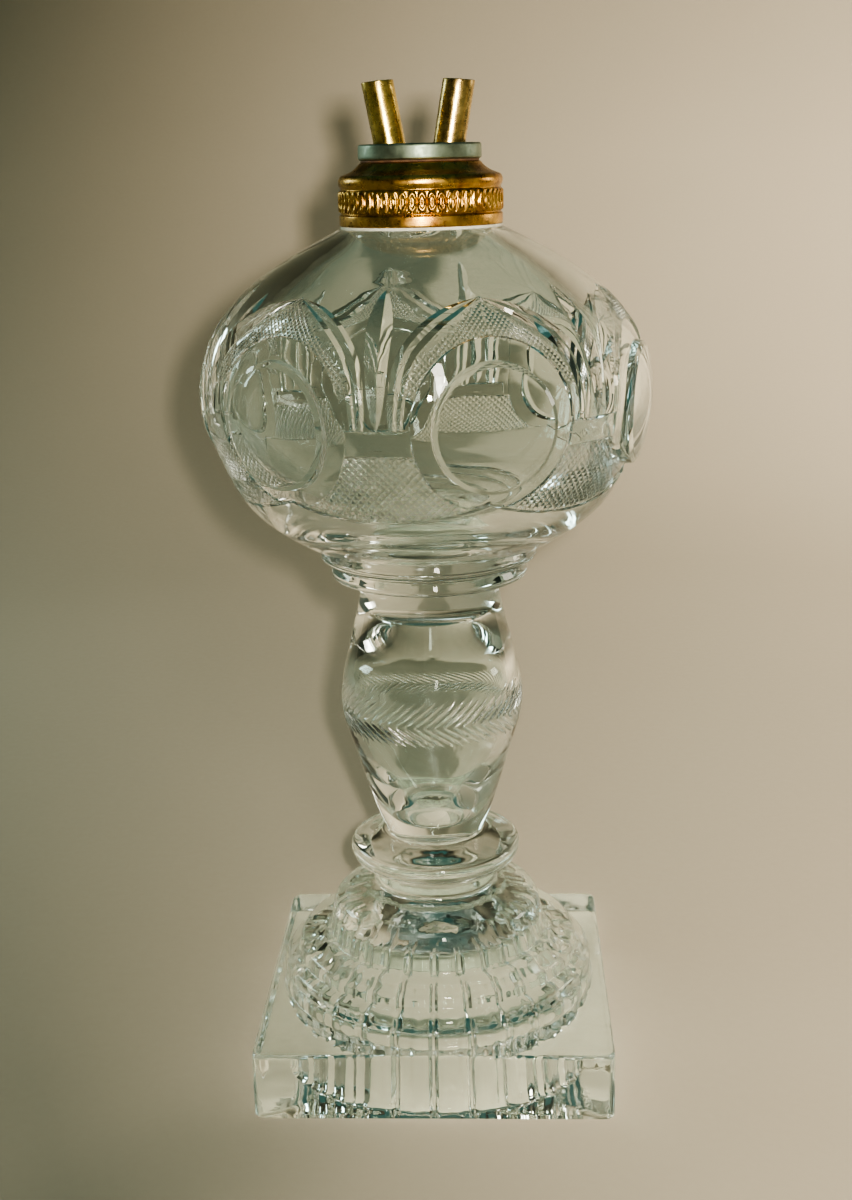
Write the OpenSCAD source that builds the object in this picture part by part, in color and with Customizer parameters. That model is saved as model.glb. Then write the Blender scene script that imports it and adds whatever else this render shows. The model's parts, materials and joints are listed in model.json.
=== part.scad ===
// Cut-glass oil lamp with a pressed square base and a screw-in two-wick burner.
// Millimetres, +Z up. The origin is the centre of the base, on the table.

/* [Pressed base] */
// Width of the square plinth across its flats
base_w = 101.6; // [98:0.1:106]
// Height of the square plinth
plinth_h = 20.1; // [19:0.1:22]
// Radius of the plinth's four upright corners
corner_r = 2.5; // [1:0.1:5]
// Height of the three-tier dome and its neck above the plinth
dome_h = 37.3; // [36:0.1:40]
// Radius of the dome where it meets the plinth
dome_r = 46.4; // [45.5:0.1:47.5]
// Radius of the neck on top of the dome
neck_r = 17.7; // [16:0.1:19]
// Number of moulded ribs inside the hollow underside
rib_count = 24; // [12:1:30]
// Width of one moulded rib
rib_w = 2.2; // [1:0.1:3]
// How far each rib stands into the hollow
rib_depth = 1.5; // [0.8:0.1:2]

/* [Stem and wafers] */
// Height of the rounded ring between the base and the stem
ring_h = 10.6; // [9:0.1:12]
// Radius of that ring
ring_r = 25.1; // [23:0.1:27]
// Height of the hollow blown stem
stem_h = 76.4; // [74:0.1:80]
// Radius of the stem where it stands on the ring
stem_foot_r = 14.4; // [13.5:0.1:15.5]
// Radius of the stem at its widest
stem_belly_r = 26.4; // [25.5:0.1:27.5]
// Radius of the stem at its top
stem_top_r = 20.4; // [19:0.1:21.5]
// Thickness of the stem's wall around the air bubble
stem_wall = 3.8; // [3:0.1:5]
// Thickness of the lower glass wafer
lower_wafer_h = 5.4; // [4.5:0.1:6.5]
// Radius of the lower glass wafer
lower_wafer_r = 27.8; // [26:0.1:29]
// Thickness of the upper glass wafer
upper_wafer_h = 5.8; // [4.5:0.1:6.5]
// Radius of the upper glass wafer
upper_wafer_r = 30.8; // [30:0.1:32]

/* [Font] */
// Height of the oil font, from the upper wafer to its shoulder
font_h = 86.4; // [84:0.1:89]
// Radius of the font at its widest
font_r = 61.2; // [60:0.1:63]
// Thickness of the font's wall at its widest
font_wall = 6.4; // [5:0.1:8]
// Radius of each cut roundel
roundel_r = 16.3; // [14:0.1:17]
// How far the middle of each roundel stands out beyond the font's widest radius
roundel_rise = 1.4; // [0.8:0.1:2]
// Upright radius of the roundels' faces, flatter than the font's own side
roundel_bow = 51.5; // [46:0.5:60]
// Height of the font's neck, inside the collar
mouth_h = 11; // [9:0.1:11.5]

/* [Collar] */
// Radius of the collar's lower edge
collar_r = 22.05; // [21.9:0.05:22.6]
// Height of the collar
collar_h = 16.3; // [16:0.1:18]
// Number of upright beads around the collar's band
bead_count = 54; // [36:1:60]
// Rise of the burner in one turn of its screw
thread_pitch = 2.1; // [1.8:0.1:2.5]
// Radius of the burner's screw, halfway up its thread
thread_r = 13.1; // [13:0.05:13.2]

/* [Burner] */
// Thickness of the leather washer
washer_h = 0.6; // [0.4:0.1:1]
// Radius of the pewter disc
disc_r = 16.55; // [16.2:0.05:17.5]
// Thickness of the pewter disc
disc_h = 4.1; // [3:0.1:5]
// Length of the screw below the disc
screw_h = 9; // [7:0.1:9.5]
// Outside radius of a wick tube
tube_r = 4.24; // [4:0.02:4.4]
// Wall thickness of a wick tube
tube_wall = 0.54; // [0.4:0.02:0.8]
// Distance of each tube from the lamp's axis, at the disc's top
tube_x = 7.98; // [7.6:0.02:8]
// Angle at which each tube leans outwards
tube_tilt = 10.1; // [8:0.1:10.2]
// Length of a tube above the disc, along its axis
tube_top = 16.25; // [12:0.05:20]
// Length of a tube below the disc's top, along its axis
tube_tail = 16.4; // [12:0.1:16.5]
// Slope of the cut at each tube's upper end, falling outwards
tube_cut = 5; // [0:0.5:10]
// Depth of the wick's end below the tube's end
wick_set = 2.6; // [1.5:0.1:5]

/* [Hidden] */
$fn = 72;

// Heights of the stack, from the table up
ring_z = plinth_h + dome_h;
stem_z = ring_z + ring_h;
lower_wafer_z = stem_z + stem_h;
upper_wafer_z = lower_wafer_z + lower_wafer_h;
font_z = upper_wafer_z + upper_wafer_h;
shoulder_z = font_z + font_h;
plaster_edge = 0.8;
collar_z = shoulder_z + plaster_edge;
washer_z = collar_z + collar_h;
disc_z = washer_z + washer_h;
disc_top_z = disc_z + disc_h;

// Directions of the six roundels from +X, unevenly spaced because they are cut by hand
roundel_angles = [-71, -14.3, 45.2, 106.2, 169.2, 233.2];
// Height of the roundels' centres above the upper wafer
roundel_h = 40.4;

// Radii of the neck, the collar's ring and the screw, from the outside in
collar_wall = 1.15;
collar_inner_r = collar_r - collar_wall;
mouth_outer_r = collar_inner_r - 2.5;
sleeve_r = thread_r + 1.9;
mouth_r = sleeve_r + 0.2;
sleeve_h = 10;
plaster_top = 12.4;
thread_depth = 0.4;
thread_gap = 0.35;
screw_bore_r = thread_r - 1.3;
solder_r = tube_r + 2.5;
solder_h = 1.6;
tail_r = tube_r - 0.2;
tail_top = 1.3;
tube_bore_r = tube_r - tube_wall;
wick_r = tube_bore_r - 0.2;
clear = 1;

glass_colour = [0.78, 0.86, 0.84];
old_brass = [0.72, 0.50, 0.18];
dull_brass = [0.52, 0.46, 0.25];
pewter = [0.46, 0.50, 0.47];

// Points on a bend from a to c that leaves and arrives along the lines through b
function bend(a, b, c, n = 6) =
    [for (i = [0 : n]) let (t = i / n) (1 - t) * (1 - t) * a + 2 * t * (1 - t) * b + t * t * c];

// One point of a smooth curve through b and c, between the stations a and d
function between(a, b, c, d, t) =
    (2 * b + (c - a) * t + (2 * a - 5 * b + 4 * c - d) * t * t
    + (3 * b - a - 3 * c + d) * t * t * t) / 2;

// A smooth curve through stations, with n steps from each to the next
function smooth(s, n = 4) = let (last = len(s) - 1) concat(
    [for (i = [0 : last - 1], k = [0 : n - 1])
        between(s[max(i - 1, 0)], s[i], s[i + 1], s[min(i + 2, last)], k / n)],
    [s[last]]);

module turned(outline) {
    rotate_extrude() polygon(outline);
}

// ---- Pressed base -------------------------------------------------------

// The dome's outline: two rounded tiers, a taller crown and the neck
function dome_outline() = let (
        foot = [dome_r, 0],
        first = bend([dome_r, 2.4], [dome_r - 0.2, 8.1], [dome_r - 4, 9.5]),
        second = bend([dome_r - 4.3, 9.8], [dome_r - 4.6, 13.5], [dome_r - 9.2, 14.5]),
        crown = bend([dome_r - 14.7, 19.4], [dome_r - 15.8, 26.2], [neck_r + 3.8, 29.8]),
        neck = bend([neck_r + 1.6, 30.6], [neck_r, 31.2], [neck_r, 33.4], 4))
    concat([[0, -clear], [dome_r, -clear], foot], first, second,
        [[dome_r - 13.8, 16.4]], crown, neck, [[neck_r, dome_h], [0, dome_h]]);

// The hollow underside: three steps that follow the tiers, from the mouth up
hollow_steps = [[43.2, 0], [41.2, 21.6], [36.4, 22.6], [34.2, 30.4], [28.6, 31.4],
    [26.6, 38.6], [19, 39.8]];
hollow_top = 42.4;

module hollow(inset) {
    steps = [for (p = hollow_steps) [p.x - inset, p.y > 0 ? p.y - inset : 0]];
    turned(concat([[0, -clear], [steps[0].x, -clear]], steps, [[0, hollow_top - inset]]));
}

module ribbed_hollow() {
    rib_inner_r = 9;
    difference() {
        hollow(0);
        difference() {
            for (k = [0 : rib_count - 1])
                rotate(k * 360 / rib_count)
                    translate([rib_inner_r, -rib_w / 2, -2 * clear])
                        cube([base_w / 2 - rib_inner_r, rib_w, ring_z]);
            hollow(rib_depth);
        }
    }
}

module plinth() {
    straight = base_w - 2 * corner_r;
    linear_extrude(plinth_h) {
        square([base_w, straight], center = true);
        square([straight, base_w], center = true);
        for (x = [-1, 1], y = [-1, 1])
            translate([x, y] * straight / 2) circle(corner_r);
    }
}

module base() {
    color(glass_colour) difference() {
        union() {
            plinth();
            translate([0, 0, plinth_h]) turned(dome_outline());
        }
        ribbed_hollow();
    }
}

// ---- Stem and wafers ----------------------------------------------------

// A disc of glass with a rounded rim, between two contact radii
function pressed_gather(h, low_r, rim_r, high_r) = concat(
    [[0, 0], [low_r, 0]],
    bend([low_r + (rim_r - low_r) * 0.7, h * 0.1], [rim_r, h * 0.16], [rim_r, h / 2]),
    bend([rim_r, h / 2], [rim_r, h * 0.84], [high_r + (rim_r - high_r) * 0.6, h * 0.9]),
    [[high_r, h], [0, h]]);

module foot_ring() {
    color(glass_colour) translate([0, 0, ring_z])
        turned(pressed_gather(ring_h, neck_r, ring_r, stem_foot_r));
}

// The stem swells from its foot to its belly, then draws in to its top
function stem_stations() = let (rise = stem_belly_r - stem_foot_r,
        fall = stem_belly_r - stem_top_r)
    [[stem_foot_r, 0], [stem_foot_r + rise * 0.26, 8], [stem_foot_r + rise * 0.65, 23.5],
     [stem_belly_r, 40], [stem_top_r + fall * 0.6, 55], [stem_top_r, 70],
     [stem_top_r, stem_h]];

module stem_bubble() {
    belly = stem_belly_r - stem_wall;
    turned(smooth([[0, 3.6], [7.5, 6], [13.6, 15], [belly - 3.4, 27], [belly, 40],
        [belly - 2.2, 54], [11, 64.5], [0, 67.5]]));
}

module stem() {
    color(glass_colour) translate([0, 0, stem_z]) difference() {
        turned(concat([[0, 0]], smooth(stem_stations()), [[0, stem_h]]));
        stem_bubble();
    }
}

module lower_wafer() {
    color(glass_colour) translate([0, 0, lower_wafer_z])
        turned(pressed_gather(lower_wafer_h, stem_top_r + 1, lower_wafer_r,
            lower_wafer_r - 1.4));
}

module upper_wafer() {
    color(glass_colour) translate([0, 0, upper_wafer_z])
        turned(pressed_gather(upper_wafer_h, lower_wafer_r - 1.4, upper_wafer_r,
            upper_wafer_r - 0.8));
}

// ---- Font ---------------------------------------------------------------

// Outer stations, from the wafer to the shoulder under the collar
function font_stations() = [[31.2, 0], [36.8, 2], [49.6, 11.9], [font_r - 3.6, 26.5],
    [font_r, 40], [font_r - 0.4, 50], [font_r - 3.6, 60], [font_r - 12.6, 70.6],
    [37.2, 78.6], [22.3, font_h]];

module font_body() {
    turned(concat([[0, 0]], smooth(font_stations()), [[0, font_h]]));
}

module font_mouth() {
    translate([0, 0, font_h - clear])
        cylinder(h = mouth_h + clear, r = mouth_outer_r);
}

module font_inside() {
    inner_r = font_r - font_wall;
    bowl = smooth([[0, 7], [20, 7.6], [36, 12], [inner_r - 7.4, 23], [inner_r - 1, 36],
        [inner_r - 0.6, 48], [inner_r - 4.8, 59], [42, 67.5], [31, 75], [20, 81.6],
        [mouth_r, font_h]]);
    turned(concat(bowl, [[mouth_r, font_h + mouth_h + clear], [0, font_h + mouth_h + clear]]));
}

// A barrel that carries the roundels' faces, bowed upright about a point near the axis
module roundel_barrel() {
    middle = [font_r + roundel_rise - roundel_bow, roundel_h + 2];
    reach = 24;
    face = [for (a = [-reach : 4 : reach]) middle + roundel_bow * [cos(a), sin(a)]];
    turned(concat([[0, face[0].y]], face, [[0, face[len(face) - 1].y]]));
}

module roundel_cylinders() {
    for (angle = roundel_angles)
        rotate(angle)
            translate([font_r / 2, 0, roundel_h])
                rotate([0, 90, 0]) cylinder(h = font_r, r = roundel_r);
}

module font() {
    color(glass_colour) translate([0, 0, font_z]) difference() {
        union() {
            font_body();
            font_mouth();
            intersection() {
                roundel_barrel();
                roundel_cylinders();
            }
        }
        font_inside();
    }
}

// ---- Collar -------------------------------------------------------------

// Outline of the spun skirt: plain band, beaded band, round bead, hollow shoulder
function skirt_outline() = let (band_r = collar_r - 0.15, lip_r = disc_r - 0.15)
    concat(
        [[collar_inner_r, 0], [collar_r, 0], [collar_r, 3], [collar_r - 0.45, 3.4],
         [band_r, 3.8], [band_r, 8.8], [collar_r + 0.15, 9.1], [collar_r - 0.55, 9.8]],
        bend([collar_r - 0.5, 10.2], [collar_r + 0.2, 11.8], [collar_r - 0.85, 13.4]),
        bend([collar_r - 1.5, 13.5], [lip_r + 0.8, 13.8], [lip_r, collar_h]),
        [[sleeve_r, collar_h], [sleeve_r, collar_h - 1.2],
         [collar_inner_r, plaster_top]]);

module collar_skirt() {
    bead_r = 0.95;
    bead_h = 4.4;
    bead_z = 4.1;
    bead_rise = 0.3;
    color(old_brass) translate([0, 0, collar_z]) {
        turned(skirt_outline());
        difference() {
            for (k = [0 : bead_count - 1])
                rotate(k * 360 / bead_count)
                    translate([collar_r + bead_rise - bead_r, 0, bead_z])
                        cylinder(h = bead_h, r = bead_r, $fn = 16);
            cylinder(h = collar_h, r = collar_inner_r + 0.1);
        }
    }
}

module collar_plaster() {
    neck_top = mouth_h - plaster_edge;
    color("beige") translate([0, 0, collar_z])
        turned([[mouth_outer_r, -plaster_edge], [collar_r, -plaster_edge], [collar_r, 0],
            [collar_inner_r, 0], [collar_inner_r, plaster_top], [sleeve_r, plaster_top],
            [sleeve_r, neck_top], [mouth_outer_r, neck_top]]);
}

// A right-hand threaded rod of length h: r is halfway up its thread, and start is how far
// along the thread its lower end lies
module threaded_rod(r, h, start) {
    sides = 30;
    levels = ceil(h * 6 / thread_pitch);
    points = [for (j = [0 : levels], i = [0 : sides - 1])
        let (z = h * j / levels, a = i * 360 / sides,
            wave = cos(360 * (z + start) / thread_pitch - a),
            here = r + thread_depth * wave)
        [here * cos(a), here * sin(a), z]];
    skin = [for (j = [0 : levels - 1], i = [0 : sides - 1])
        let (n = (i + 1) % sides, low = j * sides, high = low + sides)
        each [[low + i, high + n, low + n], [low + i, high + i, high + n]]];
    floor_face = [for (i = [0 : sides - 1]) i];
    top_face = [for (i = [sides - 1 : -1 : 0]) levels * sides + i];
    polyhedron(points, concat(skin, [floor_face, top_face]));
}

module collar_thread() {
    color(old_brass) translate([0, 0, washer_z - sleeve_h]) difference() {
        cylinder(h = sleeve_h, r = sleeve_r);
        translate([0, 0, -clear])
            threaded_rod(thread_r + thread_gap, sleeve_h + 2 * clear, -clear);
    }
}

// ---- Burner -------------------------------------------------------------

module burner_washer() {
    color("saddlebrown") translate([0, 0, washer_z]) difference() {
        cylinder(h = washer_h, r = disc_r - 0.65);
        translate([0, 0, -clear])
            cylinder(h = washer_h + 2 * clear, r = thread_r + thread_depth + 0.4);
    }
}

// Puts its children on the axis of a tube: side is -1 for left, 1 for right
module on_tube(side) {
    translate([side * tube_x, 0, disc_top_z]) rotate([0, side * tube_tilt, 0]) children();
}

// A flat disc with a low rim around its top, bored for the two tubes
module burner_disc() {
    hole_r = tail_r + 0.03;
    edge = 0.2;
    dish = 0.3;
    color(pewter) difference() {
        translate([0, 0, disc_z])
            turned([[0, 0], [disc_r - edge, 0], [disc_r, edge], [disc_r, disc_h],
                [disc_r - 0.5, disc_h], [disc_r - 1.1, disc_h - dish], [0, disc_h - dish]]);
        for (side = [-1, 1])
            on_tube(side) translate([0, 0, -2 * disc_h]) cylinder(h = 3 * disc_h, r = hole_r);
    }
}

// start puts the crests of this thread in the middle of the collar's grooves
module burner_screw() {
    start = sleeve_h - screw_h + washer_h;
    color(dull_brass) translate([0, 0, disc_z - screw_h]) difference() {
        threaded_rod(thread_r, screw_h, start);
        translate([0, 0, -clear]) cylinder(h = screw_h + 2 * clear, r = screw_bore_r);
    }
}

// A cone of solder around each tube, cut off level by the disc's underside
module burner_solder() {
    over = 1.5;
    color("silver") for (side = [-1, 1])
        difference() {
            intersection() {
                on_tube(side) translate([0, 0, -disc_h - solder_h])
                    cylinder(h = solder_h + over, r1 = tail_r, r2 = solder_r);
                translate([0, 0, disc_z - 2 * solder_h])
                    cylinder(h = 2 * solder_h, r = screw_bore_r);
            }
            on_tube(side) translate([0, 0, -3 * disc_h]) cylinder(h = 4 * disc_h, r = tail_r);
        }
}

// A tube that is thinner where it passes through the disc, and cut at a slope on top
module wick_tube(side) {
    over = 2;
    saw = 4 * tube_r;
    color(dull_brass) on_tube(side) difference() {
        union() {
            translate([0, 0, -tube_tail]) cylinder(h = tube_tail + tail_top + over, r = tail_r);
            translate([0, 0, tail_top]) cylinder(h = tube_top + over - tail_top, r = tube_r);
        }
        translate([0, 0, -tube_tail - over])
            cylinder(h = tube_tail + tube_top + 3 * over, r = tube_bore_r);
        translate([0, 0, tube_top])
            rotate([0, side * (tube_cut - tube_tilt), 0])
                translate([-saw / 2, -saw / 2, 0]) cube(saw);
    }
}

module wick(side) {
    lift = 0.5;
    color("ivory") on_tube(side) translate([0, 0, lift - tube_tail])
        cylinder(h = tube_tail + tube_top - wick_set - lift, r = wick_r);
}

module wick_tube_left() {
    wick_tube(-1);
}

module wick_tube_right() {
    wick_tube(1);
}

module wick_left() {
    wick(-1);
}

module wick_right() {
    wick(1);
}

base();
foot_ring();
stem();
lower_wafer();
upper_wafer();
font();
collar_plaster();
collar_skirt();
collar_thread();
burner_washer();
burner_disc();
burner_screw();
burner_solder();
wick_tube_left();
wick_tube_right();
wick_left();
wick_right();
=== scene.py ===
import json
import math

import bmesh
import bpy
import numpy as np
from mathutils import Matrix, Vector
from mathutils.geometry import delaunay_2d_cdt

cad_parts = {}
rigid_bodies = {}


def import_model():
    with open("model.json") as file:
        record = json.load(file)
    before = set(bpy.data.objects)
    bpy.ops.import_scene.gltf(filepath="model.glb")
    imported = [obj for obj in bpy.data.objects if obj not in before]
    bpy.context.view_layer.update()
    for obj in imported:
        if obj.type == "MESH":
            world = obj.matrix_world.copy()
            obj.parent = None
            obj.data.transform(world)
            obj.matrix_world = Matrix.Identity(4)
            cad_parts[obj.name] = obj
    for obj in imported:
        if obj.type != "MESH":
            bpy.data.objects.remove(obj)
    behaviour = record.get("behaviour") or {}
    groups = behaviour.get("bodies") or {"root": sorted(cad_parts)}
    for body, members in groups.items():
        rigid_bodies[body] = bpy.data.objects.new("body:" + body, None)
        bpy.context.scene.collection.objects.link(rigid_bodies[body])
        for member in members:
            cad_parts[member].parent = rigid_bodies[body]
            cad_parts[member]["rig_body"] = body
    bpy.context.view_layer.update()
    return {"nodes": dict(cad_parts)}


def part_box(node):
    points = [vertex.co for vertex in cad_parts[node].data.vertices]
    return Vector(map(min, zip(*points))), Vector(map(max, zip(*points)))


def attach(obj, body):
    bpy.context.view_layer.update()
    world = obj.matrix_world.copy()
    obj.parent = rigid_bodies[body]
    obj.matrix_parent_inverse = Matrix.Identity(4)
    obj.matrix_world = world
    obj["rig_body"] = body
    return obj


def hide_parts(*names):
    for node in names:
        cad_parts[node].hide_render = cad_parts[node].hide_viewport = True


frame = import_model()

# Lengths are in millimetres until a mesh is made, and angles in radians unless a name says degrees.
MM = 0.001
TURN = 2 * math.pi


def span(node):
    """Lowest and highest corners of a CAD node."""
    low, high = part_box(node)
    return np.array(low) / MM, np.array(high) / MM


BASE_LOW, BASE_HIGH = span("base")
BASE_W = BASE_HIGH[0] - BASE_LOW[0]
# Lower ends, upper ends and greatest radii of the CAD nodes
RING_Z, STEM_Z, LOWER_WAFER_Z, UPPER_WAFER_Z, FONT_Z, COLLAR_Z, WASHER_Z, DISC_Z = [
    span(node)[0][2] for node in ("foot_ring", "stem", "lower_wafer", "upper_wafer", "font",
                                  "collar_skirt", "burner_washer", "burner_disc")]
MOUTH_Z, DISC_TOP_Z = [span(node)[1][2] for node in ("font", "burner_disc")]
RING_R, BELLY_R, LOWER_WAFER_R, UPPER_WAFER_R, COLLAR_R, DISC_R = [
    span(node)[1][0] for node in ("foot_ring", "stem", "lower_wafer", "upper_wafer",
                                  "collar_plaster", "burner_disc")]

# Radii of the faces where one gather of glass is fused to the next, from the base up
NECK_R = 17.7
STEM_FOOT_R = 14.4
STEM_TOP_R = 20.4
WAFER_JOIN_R = 26.4
FONT_JOIN_R = 30.0

# Numbers of the materials on a glass piece: plain surface, fused face, cut surface
GLASS, JOIN, CUT = 0, 1, 2


# ---- Outlines and meshes --------------------------------------------------


def curve(stations, steps=6):
    """A smooth curve through stations (Catmull-Rom), with a number of steps between two of them."""
    p = np.array(stations, float)
    p = np.vstack([p[0], p, p[-1]])
    rows = []
    for a, b, c, d in zip(p, p[1:], p[2:], p[3:]):
        for t in np.arange(steps) / steps:
            rows.append((2 * b + (c - a) * t + (2 * a - 5 * b + 4 * c - d) * t ** 2
                         + (3 * b - a - 3 * c + d) * t ** 3) / 2)
    rows.append(p[-1])
    return np.array(rows)


def eased(corners, radius, steps=4):
    """A polyline with each inner corner rounded off over a given length."""
    p = np.array(corners, float)
    rows = [p[0]]
    for a, b, c in zip(p, p[1:], p[2:]):
        reach = min(radius, 0.45 * np.linalg.norm(a - b), 0.45 * np.linalg.norm(c - b))
        start = b + (a - b) / np.linalg.norm(a - b) * reach
        end = b + (c - b) / np.linalg.norm(c - b) * reach
        for t in np.arange(steps + 1) / steps:
            rows.append((1 - t) ** 2 * start + 2 * t * (1 - t) * b + t ** 2 * end)
    rows.append(p[-1])
    return np.array(rows)


def around(count, start=0.0):
    """Evenly spaced angles that make one turn."""
    return start + np.arange(count) * TURN / count


def space(r, a, z):
    """Points in space from radii, angles and heights."""
    r, a, z = np.broadcast_arrays(r, a, z)
    return np.stack([r * np.cos(a), r * np.sin(a), z], -1)


def show(name, data):
    """A new object in the scene, around a mesh, a light or a camera."""
    obj = bpy.data.objects.new(name, data)
    bpy.context.scene.collection.objects.link(obj)
    return obj


def ripple(size, seed):
    """Slow unevenness of hand-made glass: a function of angle and height, in millimetres."""
    rng = np.random.default_rng(seed)
    waves = [(k, rng.uniform(-0.14, 0.14), rng.uniform(0, TURN)) for k in (1, 2, 3, 5, 8)]

    def dent(r, z, a):
        return size * sum(np.sin(k * a + m * z + p) for k, m, p in waves) / len(waves)
    return dent


AXIS_CALM = 4
WELD = 2e-6


class Shell:
    """A mesh in the making: points, faces, and the number of each face's material."""

    def __init__(self):
        self.points = []
        self.faces = []
        self.marks = []

    def add(self, points, faces, marks):
        """Adds a patch: marks is one material number, or one for each face."""
        first = len(self.points)
        self.points.extend(np.asarray(points, float).tolist())
        self.faces.extend([[first + i for i in f] for f in faces])
        self.marks.extend(marks if hasattr(marks, "__len__") else [marks] * len(faces))

    def rings(self, rings, marks, closed=False, inward=False):
        """Skins a stack of rings of points; marks holds a material number for each ring."""
        count, n = rings.shape[0], rings.shape[1]
        faces, kinds = [], []
        nexts = [(j + 1) % n for j in range(n)]
        for i in range(count if closed else count - 1):
            low, high = i * n, (i + 1) % count * n
            mark = marks[i] if hasattr(marks, "__len__") else marks
            for j, k in enumerate(nexts):
                quad = [low + j, low + k, high + k, high + j]
                faces.append(quad[::-1] if inward else quad)
                kinds.append(mark)
        self.add(rings.reshape(-1, 3), faces, kinds)

    def turn(self, parts, angles, dent=None, closed=False, inward=False):
        """Revolves an outline, given as parts: (points, mark), one going on where the last ended.
        A dent fades out within AXIS_CALM of the axis, so that its middle stays one point."""
        outline = np.vstack([points for points, mark in parts])
        marks = [mark for points, mark in parts for _ in points]
        r, z = outline[:, :1], outline[:, 1:]
        a = np.asarray(angles)[None, :]
        here = r + 0 * a
        if dent is not None:
            here = here + dent(r, z, a) * np.clip(r / AXIS_CALM, 0, 1)
        self.rings(space(here, a, z), marks, closed, inward)

    def shift(self, matrix):
        """Moves all the points."""
        self.points = [list(matrix @ Vector(p)) for p in self.points]

    def mesh(self, name, materials, crease=35):
        """The finished mesh in metres, welded, smooth except at edges sharper than crease degrees."""
        data = bpy.data.meshes.new(name)
        data.from_pydata((np.array(self.points) * MM).tolist(), [], self.faces)
        for material in materials:
            data.materials.append(material)
        data.polygons.foreach_set("material_index", self.marks)
        bm = bmesh.new()
        bm.from_mesh(data)
        bmesh.ops.remove_doubles(bm, verts=bm.verts, dist=WELD)
        bmesh.ops.dissolve_degenerate(bm, edges=bm.edges, dist=1e-7)
        limit = math.radians(crease)
        for face in bm.faces:
            face.smooth = True
        for edge in bm.edges:
            edge.smooth = not (edge.is_manifold and edge.calc_face_angle(0) > limit)
        bm.to_mesh(data)
        bm.free()
        return data

    def piece(self, name, node, slot, materials, crease=35):
        """A finished piece that stands for a CAD node and moves with that node's body."""
        obj = show(name, self.mesh(name, materials, crease))
        body = frame["nodes"][node]["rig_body"]
        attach(obj, body)
        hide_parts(node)
        return obj


# ---- Materials ------------------------------------------------------------


# Sockets of a colour mix node, which share their names with those for other kinds of data
SHARE_IN, FIRST_IN, SECOND_IN, COLOUR_OUT = 0, 6, 7, 2


class Nodes:
    """A material's node tree with short calls for what these materials need."""

    def __init__(self, name):
        self.material = bpy.data.materials.new(name)
        self.material.use_nodes = True
        self.tree = self.material.node_tree
        self.shader = self.tree.nodes["Principled BSDF"]
        self.where = self.tree.nodes.new("ShaderNodeTexCoord").outputs["Object"]

    def fill(self, node, inputs):
        """Sets a node's inputs, by name, to values or links."""
        for name, value in inputs.items():
            socket = node.inputs[name.replace("_", " ")]
            if isinstance(value, bpy.types.NodeSocket):
                self.tree.links.new(value, socket)
            else:
                socket.default_value = value
        return node

    def add(self, kind, output, **inputs):
        """An output of a new node."""
        return self.fill(self.tree.nodes.new("ShaderNode" + kind), inputs).outputs[output]

    def noise(self, scale, detail=3.0, roughness=0.55, stretch=(1, 1, 1), distortion=0.0):
        """Noise of about scale cells to the metre, squeezed along the axes where stretch is over 1."""
        where = self.add("Mapping", "Vector", Vector=self.where, Scale=stretch)
        return self.add("TexNoise", "Fac", Vector=where, Scale=scale, Detail=detail,
                        Roughness=roughness, Distortion=distortion)

    def ramp(self, value, stops):
        """A value turned into colour, by stops of (place, colour)."""
        node = self.fill(self.tree.nodes.new("ShaderNodeValToRGB"), {"Fac": value})
        ramp = node.color_ramp
        while len(ramp.elements) < len(stops):
            ramp.elements.new(0.5)
        for element, (place, colour) in zip(ramp.elements, stops):
            element.position = place
            element.color = (*colour, 1)
        return node.outputs["Color"]

    def spread(self, value, low, high, start=0.3, end=0.7):
        """A value from start to end, laid out from low to high."""
        return self.add("MapRange", "Result", Value=value, From_Min=start, From_Max=end,
                        To_Min=low, To_Max=high)

    def mix(self, a, b, share=None):
        """Colour b laid over a by a share, or multiplied with it where no share is given."""
        node = self.tree.nodes.new("ShaderNodeMix")
        node.data_type = "RGBA"
        if share is None:
            node.blend_type = "MULTIPLY"
            node.inputs[SHARE_IN].default_value = 1.0
        else:
            self.tree.links.new(share, node.inputs[SHARE_IN])
        self.tree.links.new(a, node.inputs[FIRST_IN])
        self.tree.links.new(b, node.inputs[SECOND_IN])
        return node.outputs[COLOUR_OUT]

    def bump(self, value, distance, before=None):
        """Surface relief of a value, distance millimetres deep, on top of the relief before."""
        under = {} if before is None else {"Normal": before}
        return self.add("Bump", "Normal", Height=value, Distance=distance * MM, Strength=1.0,
                        **under)

    def set(self, **values):
        """Sets the shader's inputs and hands back the material."""
        self.fill(self.shader, values)
        return self.material


LEAD_GLASS_IOR = 1.53


def glass(name, tint, rough, wave, dimple, pits):
    """Clear lead glass: a range of roughness, and the depth of slow waves, dimples and pits."""
    n = Nodes(name)
    slow = n.noise(55, 2)
    fine = n.noise(900, 2)
    roughness = n.spread(n.noise(160, 4), rough[0], rough[1], 0.4, 0.75)
    colour = n.ramp(n.noise(25, 2), [(0.35, tint), (0.75, tuple(c * 0.985 for c in tint))])
    normal = n.bump(slow, wave)
    normal = n.bump(n.noise(240, 2), dimple, normal)
    normal = n.bump(fine, pits, normal)
    return n.set(Base_Color=colour, Transmission_Weight=1.0, IOR=LEAD_GLASS_IOR,
                 Roughness=roughness, Normal=normal)


def join_material():
    """Where two gathers are fused there is no surface: light goes straight on."""
    material = bpy.data.materials.new("fused_join")
    material.use_nodes = True
    nodes = material.node_tree.nodes
    nodes.remove(nodes["Principled BSDF"])
    clear = nodes.new("ShaderNodeBsdfTransparent")
    material.node_tree.links.new(clear.outputs["BSDF"],
                                 nodes["Material Output"].inputs["Surface"])
    return material


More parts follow.
